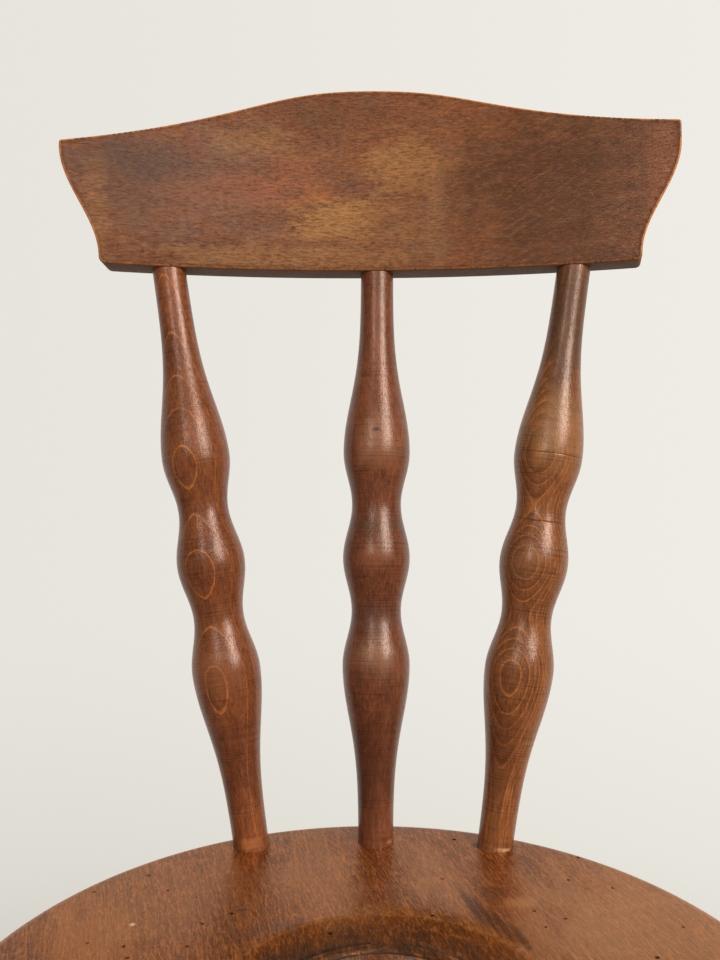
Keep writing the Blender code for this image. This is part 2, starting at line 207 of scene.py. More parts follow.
def stained_wood_group():
    """Beech under a brown stain: growth rings, fibres, short dark flecks and uneven stain.

    Place has Z along the grain. Heart is where the tree's heart lies across the piece, and Lean
    is how far the grain runs off the piece's length.
    """
    tree, given, made = effect(
        "Stained wood",
        {
            "Place": (0.0, 0.0, 0.0), "Heart": (0.0, 0.06, 0.0), "Lean": (0.0, 0.0, 0.0),
            "Ring Width": 0.003, "Line Width": 0.0004, "Wander": 0.004, "Line": 0.6,
            "Late": 0.15, "Fibres": 0.42, "Fleck": 0.5, "Thread": 0.2,
            "Deep": (0.05, 0.02, 0.01, 1.0), "Pale": (0.3, 0.13, 0.06, 1.0),
            "Line Colour": (0.45, 0.2, 0.08, 1.0),
        },
        {"Colour": "Color", "Relief": "Float", "Fibre": "Float", "Fleck": "Float"},
    )
    place = given["Place"]

    def drawn_out(along, scale, detail=2.0, roughness=0.6):
        """A mottle that is drawn out along the grain."""
        return mottle(tree, stretch(tree, place, (1.0, 1.0, along)), scale, detail, roughness)

    # Growth rings round the tree's heart, which drift a little and have a jagged edge
    along = step(tree, "SeparateXYZ", {0: place}).outputs[2]
    leaned = shift(tree, "MULTIPLY_ADD", given["Lean"], along, place)
    from_heart = shift(tree, "SUBTRACT", leaned, given["Heart"])
    radius = how_far(tree, stretch(tree, from_heart, (1.0, 1.0, 0.0)))
    drift = reckon(tree, "SUBTRACT", drawn_out(0.25, 42.0, roughness=0.5), 0.5)
    radius = reckon(tree, "MULTIPLY_ADD", drift, given["Wander"], radius)
    jagged = reckon(tree, "MULTIPLY", drawn_out(0.35, 520.0), given["Wander"])
    radius = reckon(tree, "MULTIPLY_ADD", jagged, 0.12, radius)
    rings = reckon(tree, "DIVIDE", radius, given["Ring Width"])
    part = reckon(tree, "FRACT", rings)
    from_line = reckon(tree, "MULTIPLY", part, given["Ring Width"])
    from_line = reckon(tree, "DIVIDE", from_line, given["Line Width"])
    line = reckon(tree, "SUBTRACT", 1.0, from_line, clamp=True)
    ring = {"W": reckon(tree, "FLOOR", rings)}
    ring_tone = step(tree, "TexWhiteNoise", ring, noise_dimensions="1D").outputs[0]

    # Fibres, short flecks and fine threads along the grain, and a stain that took unevenly
    fibre = fade(tree, drawn_out(0.2, 850.0, 3.0, 0.75), 0.34, 0.66)
    fleck = fade(tree, drawn_out(0.25, 1150.0), 0.52, 0.66)
    cloud = fade(tree, drawn_out(0.4, 22.0, 3.0), 0.32, 0.68)
    ripple = fade(tree, drawn_out(0.3, 170.0, 3.0), 0.25, 0.75)
    thread = reckon(tree, "ABSOLUTE", reckon(tree, "SUBTRACT", drawn_out(0.12, 460.0), 0.5))
    thread = fade(tree, thread, 0.04, 0.005)

    tone = reckon(tree, "MULTIPLY_ADD", reckon(tree, "SUBTRACT", fibre, 0.5), given["Fibres"], 0.21)
    for pattern, share in ((cloud, 0.24), (ripple, 0.22), (ring_tone, 0.12)):
        tone = reckon(tree, "MULTIPLY_ADD", pattern, share, tone)
    colour = lay(tree, tone, given["Deep"], given["Pale"])
    colour = lay(tree, fleck, colour, tint(38, 20, 12), given["Fleck"])
    # Each ring darkens towards its line, and the fibres break up the lines and threads
    broken = reckon(tree, "MULTIPLY_ADD", fibre, 0.5, 0.5)
    late = reckon(tree, "POWER", reckon(tree, "SUBTRACT", 1.0, part), 2.0)
    late = reckon(tree, "MULTIPLY", late, reckon(tree, "MULTIPLY_ADD", cloud, 0.5, 0.5))
    colour = lay(tree, late, colour, given["Deep"], given["Late"])
    for pattern, amount in ((line, given["Line"]), (thread, given["Thread"])):
        pattern = reckon(tree, "MULTIPLY", pattern, broken)
        colour = lay(tree, pattern, colour, given["Line Colour"], amount)

    relief = reckon(tree, "MULTIPLY", fibre, 0.5)
    relief = reckon(tree, "MULTIPLY_ADD", fleck, -0.5, relief)
    relief = reckon(tree, "MULTIPLY_ADD", ripple, 0.35, relief)
    outputs = {"Colour": colour, "Relief": relief, "Fibre": fibre, "Fleck": fleck}
    for label, value in outputs.items():
        feed(made[label], value)
    return tree


def worn_patch_group():
    """A ragged, soft edged patch, such as rubbed varnish or a stain: 1 inside and 0 outside."""
    tree, given, made = effect(
        "Worn patch",
        {
            "Place": (0.0, 0.0, 0.0), "Centre": (0.0, 0.0, 0.0), "Size": (0.01, 0.01, 0.01),
            "Ragged": 2.4, "Speckle": 60.0,
        },
        {"Share": "Float"},
    )
    away = shift(tree, "SUBTRACT", given["Place"], given["Centre"])
    distance = how_far(tree, shift(tree, "DIVIDE", away, given["Size"]))
    grain = stretch(tree, given["Place"], (1.0, 1.0, 0.35))
    ragged = reckon(tree, "SUBTRACT", mottle(tree, grain, given["Speckle"], 5.0, 0.72), 0.5)
    distance = reckon(tree, "MULTIPLY_ADD", ragged, given["Ragged"], distance)
    feed(made["Share"], fade(tree, distance, 1.25, 0.35))
    return tree


def old_varnish_group():
    """The gloss of old varnish: smoother where it is sound, duller where it is worn or dirty."""
    tree, given, made = effect(
        "Old varnish",
        {"Place": (0.0, 0.0, 0.0), "Gloss": 0.36, "Worn": 0.0, "Fleck": 0.0},
        {"Roughness": "Float"},
    )
    wipe = mottle(tree, given["Place"], 75.0, 3.0, 0.6)
    rough = reckon(tree, "MULTIPLY_ADD", reckon(tree, "SUBTRACT", wipe, 0.5), 0.2, given["Gloss"])
    rough = reckon(tree, "MULTIPLY_ADD", given["Worn"], 0.2, rough)
    rough = reckon(tree, "MULTIPLY_ADD", given["Fleck"], 0.12, rough, clamp=True)
    feed(made["Roughness"], rough)
    return tree


STAINED_WOOD = stained_wood_group()
WORN_PATCH = worn_patch_group()
OLD_VARNISH = old_varnish_group()


def start_finish(name, wood_values):
    """A new finish that begins with bare stained wood. Its grain runs as marked on the mesh."""
    material = bpy.data.materials.new(name)
    material.use_nodes = True
    tree = material.node_tree
    place = marked(tree, "grain", "Vector")
    return material, tree, place, use(tree, STAINED_WOOD, {"Place": place, **wood_values})


def close_finish(material, colour, roughness, relief, relief_share):
    """Close a finish with its colour, its gloss and the relief of the grain."""
    tree = material.node_tree
    shader = tree.nodes["Principled BSDF"]
    feed(shader.inputs["Base Color"], colour)
    feed(shader.inputs["Roughness"], roughness)
    height = {"Strength": relief_share, "Distance": 0.0002, "Height": relief}
    feed(shader.inputs["Normal"], step(tree, "Bump", height).outputs[0])
    return shader


def mark(piece, name, rule):
    """Keep a number or a place at each point of the mesh, for the finish to read."""
    values = [rule(vert.co) for vert in piece.data.vertices]
    kind, key = ("FLOAT", "value") if isinstance(values[0], float) else ("FLOAT_VECTOR", "vector")
    if kind == "FLOAT_VECTOR":
        values = [part for value in values for part in value]
    piece.data.attributes.new(name, kind, "POINT").data.foreach_set(key, values)


def turned(profile, steps):
    """A solid turned from (radius, height) points, of which the ends lie on the axis."""
    bm = bmesh.new()
    rings = []
    for radius, height in profile:
        ring = []
        for turn in range(steps if radius else 1):
            angle = tau * turn / steps
            ring.append(bm.verts.new((radius * cos(angle), radius * sin(angle), height)))
        rings.append(ring)
    for upper, lower in zip(rings, rings[1:]):
        for turn in range(steps):
            corners = []
            for ring, place in ((upper, turn), (lower, turn), (lower, turn + 1), (upper, turn + 1)):
                corner = ring[place % len(ring)]
                if corner not in corners:
                    corners.append(corner)
            bm.faces.new(corners)
    bmesh.ops.recalc_face_normals(bm, faces=bm.faces)
    return bm


def piece_of(name, bm):
    """A new piece from its mesh."""
    mesh = bpy.data.meshes.new(name)
    bm.to_mesh(mesh)
    bm.free()
    piece = bpy.data.objects.new(name, mesh)
    bpy.context.scene.collection.objects.link(piece)
    return piece


def combine(piece, other, operation):
    """Cut the shapes of another mesh out of the piece (DIFFERENCE), or join them on (UNION)."""
    tool = piece_of("tool", other)
    work = piece.modifiers.new("work", "BOOLEAN")
    work.operation = operation
    work.solver = "EXACT"
    work.object = tool
    whole = piece.evaluated_get(bpy.context.evaluated_depsgraph_get())
    mesh = bpy.data.meshes.new_from_object(whole)
    piece.modifiers.clear()
    piece.data = mesh
    bpy.data.objects.remove(tool, do_unlink=True)


def smooth(piece):
    """Shade the piece smoothly, but keep the edges that turn by more than 35 degrees crisp."""
    piece.data.shade_smooth()
    piece.data.set_sharp_from_angle(angle=radians(35))


def quarter(centre_radius, centre_height, radius, start, end):
    """Points of a rounded edge, between two angles."""
    steps = 10
    for turn in range(steps + 1):
        angle = start + (end - start) * turn / steps
        yield centre_radius + radius * cos(angle), centre_height + radius * sin(angle)


def dish_height(radius):
    """How deep the turned hollow is at a distance from its middle."""
    bead_outer = BEAD_RADIUS + BEAD_WIDTH / 2
    bead_inner = BEAD_RADIUS - BEAD_WIDTH / 2
    if radius >= bead_outer:
        share = (DISH_RADIUS - radius) / (DISH_RADIUS - bead_outer)
        return -DISH_DEPTH * sin(pi / 2 * share)
    if radius > bead_inner:
        share = abs(radius - BEAD_RADIUS) / (BEAD_WIDTH / 2)
        return -DISH_DEPTH + (DISH_DEPTH - BEAD_DROP) * (max(0.0, 1 - share ** 2)) ** 0.5
    return -DISC_DROP


def seat_profile():
    """The board's outline from the middle of its top, round the rim and back underneath."""
    flat = [(0.0, 0.0)] + [(SEAT_RADIUS * part / 16, 0.0) for part in range(1, 15)]
    top_round = quarter(SEAT_RADIUS - RIM_ROUND_TOP, -RIM_ROUND_TOP, RIM_ROUND_TOP, pi / 2, 0)
    low_centre = RIM_ROUND_BOTTOM - SEAT_THICKNESS
    low_round = quarter(SEAT_RADIUS - RIM_ROUND_BOTTOM, low_centre, RIM_ROUND_BOTTOM, 0, -pi / 2)
    under = [(SEAT_RADIUS * part / 16, -SEAT_THICKNESS) for part in range(14, 0, -2)]
    return [*flat, *top_round, *low_round, *under, (0.0, -SEAT_THICKNESS)]


def dish_profile():
    """The turner's cut: from above the top, down the cove, over the bead and to the middle."""
    # The cut starts above the top, and its lip is a little rounded
    points = [(0.0, 0.004), (DISH_RADIUS + 0.004, 0.004), (DISH_RADIUS + 0.0004, 0.0001)]
    outer = BEAD_RADIUS + BEAD_WIDTH / 2
    for part in range(21):
        radius = DISH_RADIUS + (outer - DISH_RADIUS) * part / 20
        points.append((radius, dish_height(radius) - 0.0001))
    for part in range(1, 16):
        radius = BEAD_RADIUS + BEAD_WIDTH / 2 * cos(pi * part / 16)
        points.append((radius, dish_height(radius)))
    # A narrow groove inside the bead, and the disc's rounded edge
    inner = BEAD_RADIUS - BEAD_WIDTH / 2
    points += [(inner - 0.0001, -DISH_DEPTH), (DISC_RADIUS - 0.0003, -DISH_DEPTH + 0.0004)]
    points += [(DISC_RADIUS - 0.0012, -DISC_DROP - 0.0004), (DISC_RADIUS - 0.0022, -DISC_DROP)]
    return [*points, (0.0, -DISC_DROP)]


def worm_hole(holes, x, y, rng):
    """A round, slightly ragged hole that runs off at a slant."""
    radius = HOLE_RADIUS * rng.uniform(0.75, 1.2)
    slant = Vector((rng.uniform(-0.4, 0.4), rng.uniform(-0.4, 0.4), 1.0))
    rings = []
    for height in (-HOLE_DEPTH - DISH_DEPTH, 0.001):
        ring = []
        for side in range(HOLE_SIDES):
            reach = radius * rng.uniform(0.82, 1.15)
            angle = tau * side / HOLE_SIDES
            spot = Vector((x + reach * cos(angle), y + reach * sin(angle), 0.0)) + slant * height
            ring.append(holes.verts.new(spot))
        rings.append(ring)
    for side in range(HOLE_SIDES):
        holes.faces.new((rings[0][side - 1], rings[0][side], rings[1][side], rings[1][side - 1]))
    holes.faces.new(reversed(rings[0]))
    holes.faces.new(rings[1])


def add_cylinder(bm, at, radius, low, high):
    """A plain round bar for a cut, along Z of the place given."""
    bar = turned([(0.0, high), (radius, high), (radius, low), (0.0, low)], BAR_SIDES)
    mesh = bpy.data.meshes.new("bar")
    bar.to_mesh(mesh)
    bar.free()
    mesh.transform(at)
    bm.from_mesh(mesh)
    bpy.data.meshes.remove(mesh)


def axis_frame(start, end):
    """A place at start whose Z runs towards end, with X to the chair's right and Y to its back."""
    up = (end - start).normalized()
    across = Vector((0.0, 1.0, 0.0)).cross(up).normalized()
    turn = Matrix((across, up.cross(across), up)).transposed()
    return Matrix.Translation(start) @ turn.to_4x4()


# Foot and head of each spindle and leg, where they meet the seat, the rail or the floor
SPINDLES = {
    "left": (Vector((-0.0700, 0.1306, 0.4450)), Vector((-0.1197, 0.1848, 0.7751))),
    "centre": (Vector((0.0015, 0.1359, 0.4450)), Vector((0.0036, 0.1966, 0.7730))),
    "right": (Vector((0.0700, 0.1306, 0.4450)), Vector((0.1196, 0.1845, 0.7751))),
}
LEG_FOOT_REACH = 0.188
LEG_HEAD_REACH = 0.125
SOCKET_DEPTH = 0.02
# Room round a tenon in its socket, and below it
SOCKET_GAP = 0.0002
SOCKET_END_GAP = 0.0003
# How far a cut, or a bar before it is sawn, reaches past its face
OVERCUT = 0.01
BAR_SIDES = 48
SPINDLE_FOOT_RADIUS = 0.0101
LEG_HEAD_RADIUS = 0.0140


def leg_ends(x, y):
    """Foot and head of the leg that stands towards one corner."""
    outwards = Vector((x, y, 0.0)).normalized()
    middle = Vector((SEAT_TOP.x, SEAT_TOP.y, 0.0))
    head = middle + outwards * LEG_HEAD_REACH + Vector((0, 0, SEAT_TOP.z - SEAT_THICKNESS))
    return middle + outwards * LEG_FOOT_REACH, head


LEGS = {
    "front_left": leg_ends(-1, -1), "front_right": leg_ends(1, -1),
    "rear_left": leg_ends(-1, 1), "rear_right": leg_ends(1, 1),
}


def make_seat():
    """The turned board with its hollow, worm holes and sockets, about the middle of its top."""
    seat = piece_of("round_seat", turned(seat_profile(), SEAT_TURN))
    dish = turned(dish_profile(), SEAT_TURN)
    bmesh.ops.translate(dish, verts=dish.verts, vec=DISH_CENTRE)
    combine(seat, dish, "DIFFERENCE")

    rng = random.Random(7)
    cuts = bmesh.new()
    for x, y in WORM_HOLES:
        worm_hole(cuts, x / 1000, y / 1000, rng)
    # The others keep clear of the rim, the cove and the bead
    more = 0
    while more < MORE_HOLES:
        x, y = rng.uniform(-0.17, 0.17), rng.uniform(-0.17, 0.03)
        from_dish = hypot(x - DISH_CENTRE.x, y - DISH_CENTRE.y)
        if hypot(x, y) < 0.175 and not 0.043 < from_dish < 0.078:
            worm_hole(cuts, x, y, rng)
            more += 1
    to_seat = Matrix.Translation(-SEAT_TOP)
    for foot, head in SPINDLES.values():
        at = to_seat @ axis_frame(foot, head)
        low = -SOCKET_DEPTH - SOCKET_END_GAP
        add_cylinder(cuts, at, SPINDLE_FOOT_RADIUS + SOCKET_GAP, low, OVERCUT)
    for foot, head in LEGS.values():
        at = to_seat @ axis_frame(foot, head)
        length = (head - foot).length
        high = length + SOCKET_DEPTH + SOCKET_END_GAP
        add_cylinder(cuts, at, LEG_HEAD_RADIUS + SOCKET_GAP, length - OVERCUT, high)
    bmesh.ops.recalc_face_normals(cuts, faces=cuts.faces)
    combine(seat, cuts, "DIFFERENCE")
    smooth(seat)
    return seat


def seat_grime_and_shade(spot):
    """Dirt and painted shade at a point of the seat: 1 down a worm hole and in the grooves of the
    hollow, less in the cove and the disc.
    """
    radius = hypot(spot.x - DISH_CENTRE.x, spot.y - DISH_CENTRE.y)
    floor = dish_height(radius) if radius < DISH_RADIUS else 0.0
    in_hole = 0.0
    # The top's rim is lower too, and so are the sockets' ends and the underside
    if spot.z > -0.0155 and hypot(spot.x, spot.y) <= SEAT_RADIUS - RIM_ROUND_TOP:
        in_hole = min(1.0, max(0.0, (floor - spot.z - 0.0008) / 0.002))
    groove = 0.12 if radius < DISC_RADIUS else 0.0
    if DISC_RADIUS <= radius < DISH_RADIUS:
        groove = 0.45 * min(1.0, (DISH_RADIUS - radius) / 0.01) if radius > BEAD_RADIUS else 0.0
        for side, reach in ((1, 0.009), (-1, 0.0022)):
            line = BEAD_RADIUS + side * BEAD_WIDTH / 2
            groove = max(groove, 1 - abs(radius - line) / reach)
    return max(in_hole, groove, 0.0)


def seat_wear_and_highlight(spot):
    """Wear and painted highlight at a point of the seat: the rubbed rim, and light lines on the lip
    of the hollow and the top of its bead.
    """
    from_rim = SEAT_RADIUS - hypot(spot.x, spot.y)
    worn_and_highlight = 1 - abs(from_rim - 0.003) / 0.005 if spot.z > -0.015 else 0.0
    radius = hypot(spot.x - DISH_CENTRE.x, spot.y - DISH_CENTRE.y)
    worn_and_highlight = max(worn_and_highlight, 0.6 - abs(radius - DISH_RADIUS - 0.0004) / 0.0025)
    if spot.z > -DISH_DEPTH:
        worn_and_highlight = max(worn_and_highlight, 0.8 - abs(radius - BEAD_RADIUS - 0.0006) / 0.0016)
    return max(worn_and_highlight, 0.0)


def seat_material():
    """Stained beech under old shellac, marked, rubbed at the edges, painted with a highlight on the
    hollow's lip and bead, and dirty and painted darker for shade in the hollow and the worm holes.
    """
    material, tree, place, wood = start_finish("seat_beech", {
        "Heart": (0.05, -0.09, 0.0), "Lean": (0.0, 0.03, 0.0), "Ring Width": 0.0035,
        "Line Width": 0.0006, "Wander": 0.012, "Line": 0.35, "Fleck": 0.4, "Thread": 0.42,
        "Deep": tint(56, 24, 8), "Pale": tint(152, 84, 36), "Line Colour": tint(214, 128, 60),
    })
    grime_and_shade = marked(tree, "grime_and_shade")
    wear_and_highlight = marked(tree, "wear_and_highlight")
    colour = wood["Colour"]
    for (x, y), (wide, long), hue, amount in SEAT_MARKS:
        spot = Vector((x, y, 0.0)) / 1000
        inputs = {
            "Place": place, "Centre": (spot.dot(SEAT_ACROSS), 0.0, spot.dot(SEAT_ALONG)),
            "Size": (wide / 1000, 0.01, long / 1000), "Ragged": 1.8 if wide > 5 else 0.3,
        }
        patch = use(tree, WORN_PATCH, inputs)["Share"]
        colour = lay(tree, patch, colour, tint(*hue), amount)
    # Pale wear at the rim, and a painted highlight line on the hollow's lip and the bead's top
    worn_and_highlight = fade(tree, mottle(tree, place, 260.0, 3.0, 0.7), 0.35, 0.6)
    worn_and_highlight = reckon(tree, "MULTIPLY", wear_and_highlight, worn_and_highlight)
    colour = lay(tree, worn_and_highlight, colour, tint(190, 122, 66), 0.6)
    smeared = mottle(tree, stretch(tree, place, (1.0, 1.0, 0.3)), 110.0, 4.0, 0.7)
    smeared = fade(tree, smeared, 0.36, 0.6)
    crumbs = reckon(tree, "MULTIPLY_ADD", wood["Fibre"], -0.12, reckon(tree, "ADD", smeared, 0.6))
    # Dirt and painted shade: the grooves, the cove, the disc and the worm holes are darkened
    dirt_and_shade = reckon(tree, "MULTIPLY", grime_and_shade, crumbs, clamp=True)
    colour = lay(tree, dirt_and_shade, colour, tint(24, 13, 8), 0.93)
    inputs = {"Place": place, "Gloss": 0.2, "Worn": worn_and_highlight, "Fleck": wood["Fleck"]}
    rough = use(tree, OLD_VARNISH, inputs)["Roughness"]
    rough = reckon(tree, "MULTIPLY_ADD", dirt_and_shade, 0.4, rough)
    shader = close_finish(material, colour, rough, wood["Relief"], 0.4)
    # Old shellac over beech shines in the wood's own colour, more than varnish does
    shader.inputs["Metallic"].default_value = 0.34
    shader.inputs["IOR"].default_value = 1.75
    shader.inputs["Specular Tint"].default_value = tint(255, 205, 165)
    return material


SEAT_ALONG = Vector((-sin(SEAT_GRAIN_TURN), cos(SEAT_GRAIN_TURN), 0.0))
SEAT_ACROSS = Vector((cos(SEAT_GRAIN_TURN), sin(SEAT_GRAIN_TURN), 0.0))
seat = make_seat()
mark(seat, "grain", lambda spot: (spot.dot(SEAT_ACROSS), spot.z, spot.dot(SEAT_ALONG)))
mark(seat, "grime_and_shade", seat_grime_and_shade)
mark(seat, "wear_and_highlight", seat_wear_and_highlight)
seat.data.transform(Matrix.Translation(SEAT_TOP))
seat.data.materials.append(seat_material())
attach(seat, "root")
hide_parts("seat")


# The legs and the spindles: beech bars turned to three bulbs between tapered necks, stained
# and varnished. Their ends are glued into sockets in the seat, and thin pegs at the spindles'
# heads go up into the rail.

TURNED_STEPS = 96
LEG_FORM = {
    "foot": 0.0130, "head": LEG_HEAD_RADIUS, "bulb": 0.0230, "waist": 0.0170,
    "middle": 0.215, "pitch": 0.078, "reach": 0.054,
}
SPINDLE_FORM = {
    "foot": SPINDLE_FOOT_RADIUS, "head": 0.0097, "bulb": 0.0197, "waist": 0.0145,
    "middle": 0.1635, "pitch": 0.0625, "reach": 0.043,
}
PEG_RADIUS = 0.0062
PEG_LENGTH = 0.022
RAIL_LEAN = radians(10)


def turned_radius(height, foot, head, bulb, waist, middle, pitch, reach):
    """The radius at a height: three bulbs with waists between them, and a neck at each end."""
    from_middle = height - middle
    if abs(from_middle) > pitch:
        neck = head if from_middle > 0 else foot
        return neck + (bulb - neck) * exp(-(((abs(from_middle) - pitch) / reach) ** 2))
    share = 2 * min(abs(from_middle) / pitch, 1 - abs(from_middle) / pitch)
    return bulb - (bulb - waist) * (1 - cos(pi * share)) / 2


def turned_profile(form, start, end, scored=()):
    """Radius and height up the piece, with the turner's scored lines as fine grooves."""
    heights = [start + (end - start) * part / 210 for part in range(211)]
    # Each groove gets five rings of its own, in place of those that stand too close
    for line in scored:
        heights = [height for height in heights if abs(height - line) > 0.0011]
        heights += [line - 0.0008, line - 0.0003, line, line + 0.0003, line + 0.0008]
    profile = [(0.0, end)]
    for height in sorted(heights, reverse=True):
        depth = 0.00012 if height in scored else 0.0
        profile.append((turned_radius(height, **form) - depth, height))
    return [*profile, (0.0, start)]


def cut_off(bm, at, point, normal):
    """Cut off what lies beyond a plane of the chair, and close the cut."""
    inverse = at.inverted()
    cut = bmesh.ops.bisect_plane(
        bm, geom=bm.verts[:] + bm.edges[:] + bm.faces[:], plane_co=inverse @ point,
        plane_no=inverse.to_3x3() @ normal, clear_outer=True,
    )
    rim = [item for item in cut["geom_cut"] if isinstance(item, bmesh.types.BMEdge)]
    bmesh.ops.edgeloop_fill(bm, edges=rim)


def turning_material(name, wood_values, stains, scored=()):
    """Stained wood for one turned piece. Each stain is a place, a size, a colour and a share."""
    material, tree, place, wood = start_finish(name, wood_values)
    colour = wood["Colour"]
    for centre, size, hue, amount in stains:
        patch = use(tree, WORN_PATCH, {"Place": place, "Centre": centre, "Size": size})["Share"]
        colour = lay(tree, patch, colour, hue, amount)
    # Fine lines round the piece that the turner's tool left, here more and there less
    lines = mottle(tree, stretch(tree, place, (9.0, 9.0, 800.0)), 1.6, 2.0, 0.6)
    spread = mottle(tree, stretch(tree, place, (60.0, 60.0, 90.0)), 1.0, 3.0, 0.7)
    spread = fade(tree, spread, 0.36, 0.62)
    lines = reckon(tree, "MULTIPLY", fade(tree, lines, 0.47, 0.63), spread)
    colour = lay(tree, lines, colour, tint(44, 20, 9), 0.45)
    height = step(tree, "SeparateXYZ", {0: place}).outputs[2]
    for line in scored:
        away = reckon(tree, "ABSOLUTE", reckon(tree, "SUBTRACT", height, line))
        dark = fade(tree, away, 0.0009, 0.0003)
        colour = lay(tree, dark, colour, tint(40, 22, 14), 0.25)
    inputs = {"Place": place, "Gloss": 0.25, "Fleck": wood["Fleck"]}
    rough = use(tree, OLD_VARNISH, inputs)["Roughness"]
    relief = reckon(tree, "MULTIPLY_ADD", lines, -0.3, wood["Relief"])
    shader = close_finish(material, colour, rough, relief, 0.25)
    shader.inputs["Specular Tint"].default_value = tint(255, 224, 204)
    return material


def finish_turning(piece, at, material, node, bow=0.0):
    """Mark the grain, set the piece in the chair and give it its finish."""
    mark(piece, "grain", lambda spot: (spot.x, spot.y + bow * spot.z ** 2, spot.z))
    piece.data.transform(at)
    smooth(piece)
    piece.data.materials.append(material)
    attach(piece, "root")
    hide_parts(node)


for number, (place_name, (foot, head)) in enumerate(LEGS.items()):
    at = axis_frame(foot, head)
    # The bar is turned a little too long at the foot, and sawn off level with the floor
    top = (head - foot).length + SOCKET_DEPTH
    bm = turned(turned_profile(LEG_FORM, -0.012, top), TURNED_STEPS)
    cut_off(bm, at, Vector((0, 0, 0)), Vector((0, 0, -1)))
    leg = piece_of("turned_leg_" + place_name, bm)
    wood_values = {
        "Heart": (0.03 - 0.02 * number, 0.05, 0.0), "Lean": (0.02, 0.05 - 0.03 * number, 0.0),
        "Ring Width": 0.0028, "Line Width": 0.0003, "Wander": 0.004, "Line": 0.5, "Thread": 0.3,
        "Deep": tint(60, 27, 11), "Pale": tint(144, 78, 38), "Line Colour": tint(200, 118, 56),
    }
    # Feet rubbed bare and dirty near the floor
    stains = [((0.0, 0.0, 0.0), (0.03, 0.03, 0.03), tint(60, 40, 28), 0.6)]
    material = turning_material("leg_beech_" + place_name, wood_values, stains)
    finish_turning(leg, at, material, "leg_" + place_name)

SPINDLE_WOOD = {
    "left": {
        "Heart": (0.0632, 0.2965, 0.0), "Lean": (0.0, 0.0264, 0.0), "Ring Width": 0.00647,
        "Line Width": 0.00034, "Wander": 0.001, "Line": 0.75,
        "Fibres": 0.3, "Fleck": 0.3, "Thread": 0.1,
        "Deep": tint(66, 31, 16), "Pale": tint(152, 86, 48), "Line Colour": tint(206, 122, 58),
    },
    "centre": {
        "Heart": (0.03, 0.05, 0.0), "Lean": (0.0, 0.03, 0.0), "Ring Width": 0.0024,
        "Line Width": 0.0003, "Wander": 0.005, "Line": 0.2,
        "Fibres": 0.3, "Fleck": 0.3, "Thread": 0.1,
        "Deep": tint(60, 30, 17), "Pale": tint(140, 80, 50), "Line Colour": tint(174, 98, 58),
    },
    "right": {
        "Heart": (0.0215, 0.0506, 0.0), "Lean": (0.0, 0.02, 0.0), "Ring Width": 0.0015,
        "Line Width": 0.00028, "Wander": 0.0012, "Line": 0.75, "Late": 0.9,
        "Fibres": 0.26, "Fleck": 0.25, "Thread": 0.08,
        "Deep": tint(66, 34, 18), "Pale": tint(170, 104, 58), "Line Colour": tint(208, 124, 62),
    },
}
# Heights of the turner's scored lines
SPINDLE_SCORED = {"left": (), "centre": (), "right": (0.1873, 0.2262)}
# How fast the grain of each curves away from its length, per metre
SPINDLE_BOW = {"left": 0.2406, "centre": 0.0, "right": 0.0}
# Faded, dirty and rubbed places: place, half sizes, colour and strength
SPINDLE_STAINS = {
    "left": [
        ((-0.004, -0.010, 0.31), (0.02, 0.02, 0.07), tint(70, 50, 42), 0.7),
        ((-0.006, -0.018, 0.101), (0.014, 0.014, 0.016), tint(150, 92, 56), 0.4),
        ((0.006, -0.012, 0.05), (0.02, 0.02, 0.03), tint(70, 34, 22), 0.3),
        ((0.002, -0.01, 0.003), (0.008, 0.008, 0.0042), tint(190, 116, 62), 0.5),
    ],
    "centre": [
        ((0.0, -0.018, 0.2300), (0.016, 0.014, 0.016), tint(146, 98, 68), 0.45),
        ((0.0, -0.018, 0.1635), (0.016, 0.014, 0.010), tint(140, 86, 58), 0.35),
        ((0.0, -0.018, 0.1060), (0.018, 0.014, 0.014), tint(146, 104, 76), 0.45),
        ((0.0, -0.012, 0.0450), (0.020, 0.020, 0.040), tint(62, 32, 20), 0.45),
        ((0.0, -0.0189, 0.2377), (0.0022, 0.003, 0.0014), tint(40, 22, 16), 0.8),
        ((0.0, -0.014, 0.183), (0.02, 0.02, 0.006), tint(76, 54, 42), 0.5),
        ((0.0, -0.014, 0.128), (0.02, 0.02, 0.01), tint(84, 58, 44), 0.5),
        ((0.008, -0.006, 0.001), (0.003, 0.004, 0.0016), tint(190, 130, 80), 0.4),
    ],
    "right": [
        ((0.0, -0.010, 0.30), (0.02, 0.02, 0.06), tint(76, 54, 40), 0.75),
        ((0.0, -0.014, 0.240), (0.02, 0.02, 0.025), tint(146, 104, 66), 0.5),
        ((-0.008, -0.016, 0.1635), (0.014, 0.014, 0.014), tint(140, 94, 62), 0.3),
        ((-0.005, -0.012, 0.058), (0.011, 0.012, 0.030), tint(78, 40, 24), 0.4),
        ((0.013, -0.004, 0.060), (0.007, 0.012, 0.060), tint(156, 94, 44), 0.3),
        ((0.0042, -0.009, 0.0), (0.0056, 0.005, 0.0015), tint(206, 164, 112), 0.8),
    ],
}
# The middle of the rail's lower front edge, and the way that the rail leans
RAIL_FOOT = Vector((-0.0008, 0.1870, 0.7747))
up_the_rail = Matrix.Rotation(-RAIL_LEAN, 3, "X") @ Vector((0, 0, 1))

